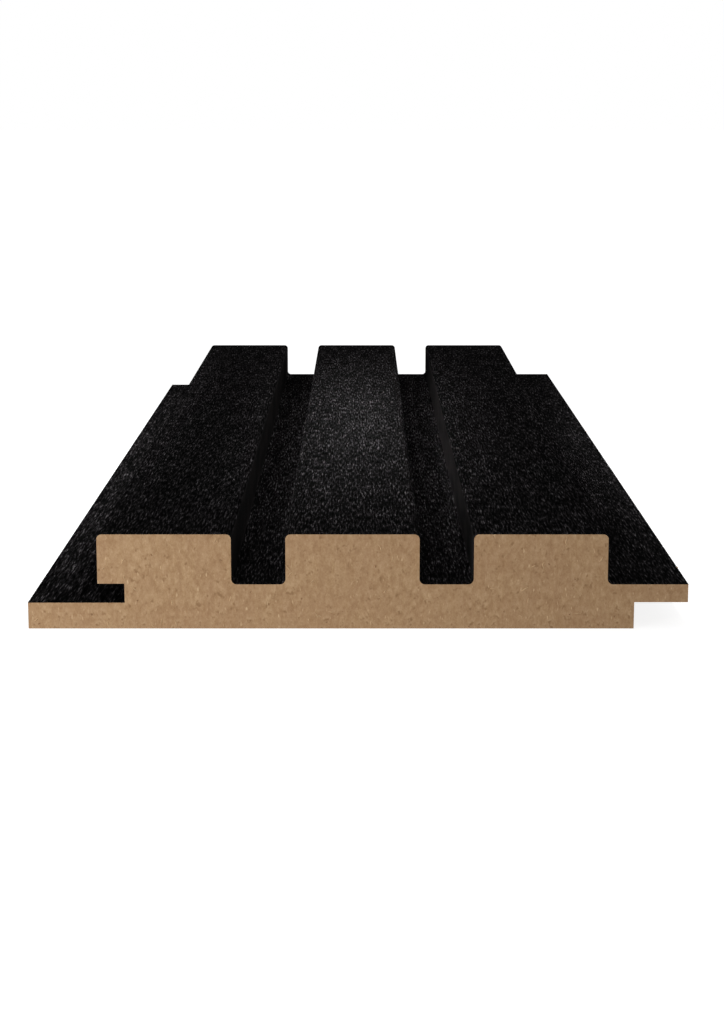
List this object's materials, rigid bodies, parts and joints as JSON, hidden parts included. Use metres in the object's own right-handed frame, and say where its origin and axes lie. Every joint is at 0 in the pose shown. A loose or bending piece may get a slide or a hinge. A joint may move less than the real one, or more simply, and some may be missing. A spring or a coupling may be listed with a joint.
{
  "type": "ribbed mdf wall panel",
  "caption": "Short length of ribbed MDF wall cladding: flat raised ribs with channels between them, a tongue on one edge, a slot and fixing lip on the other, black film on the face.",
  "frame": {"origin": "middle of the back face, at wall level: the bottom centre of the panel's box as it lies on its back", "axes": "+X across the panel towards the tongue, +Y along its length, +Z out of the wall towards the room"},
  "size_m": [0.123, 0.3, 0.018],
  "materials": {
    "raw_mdf": "sawn and milled, bare",
    "black_film": "matt, finely pored along the length"
  },
  "bodies": {
    "root": {"mdf_core": "raw_mdf", "face_film": "black_film"}
  },
  "joints": []
}
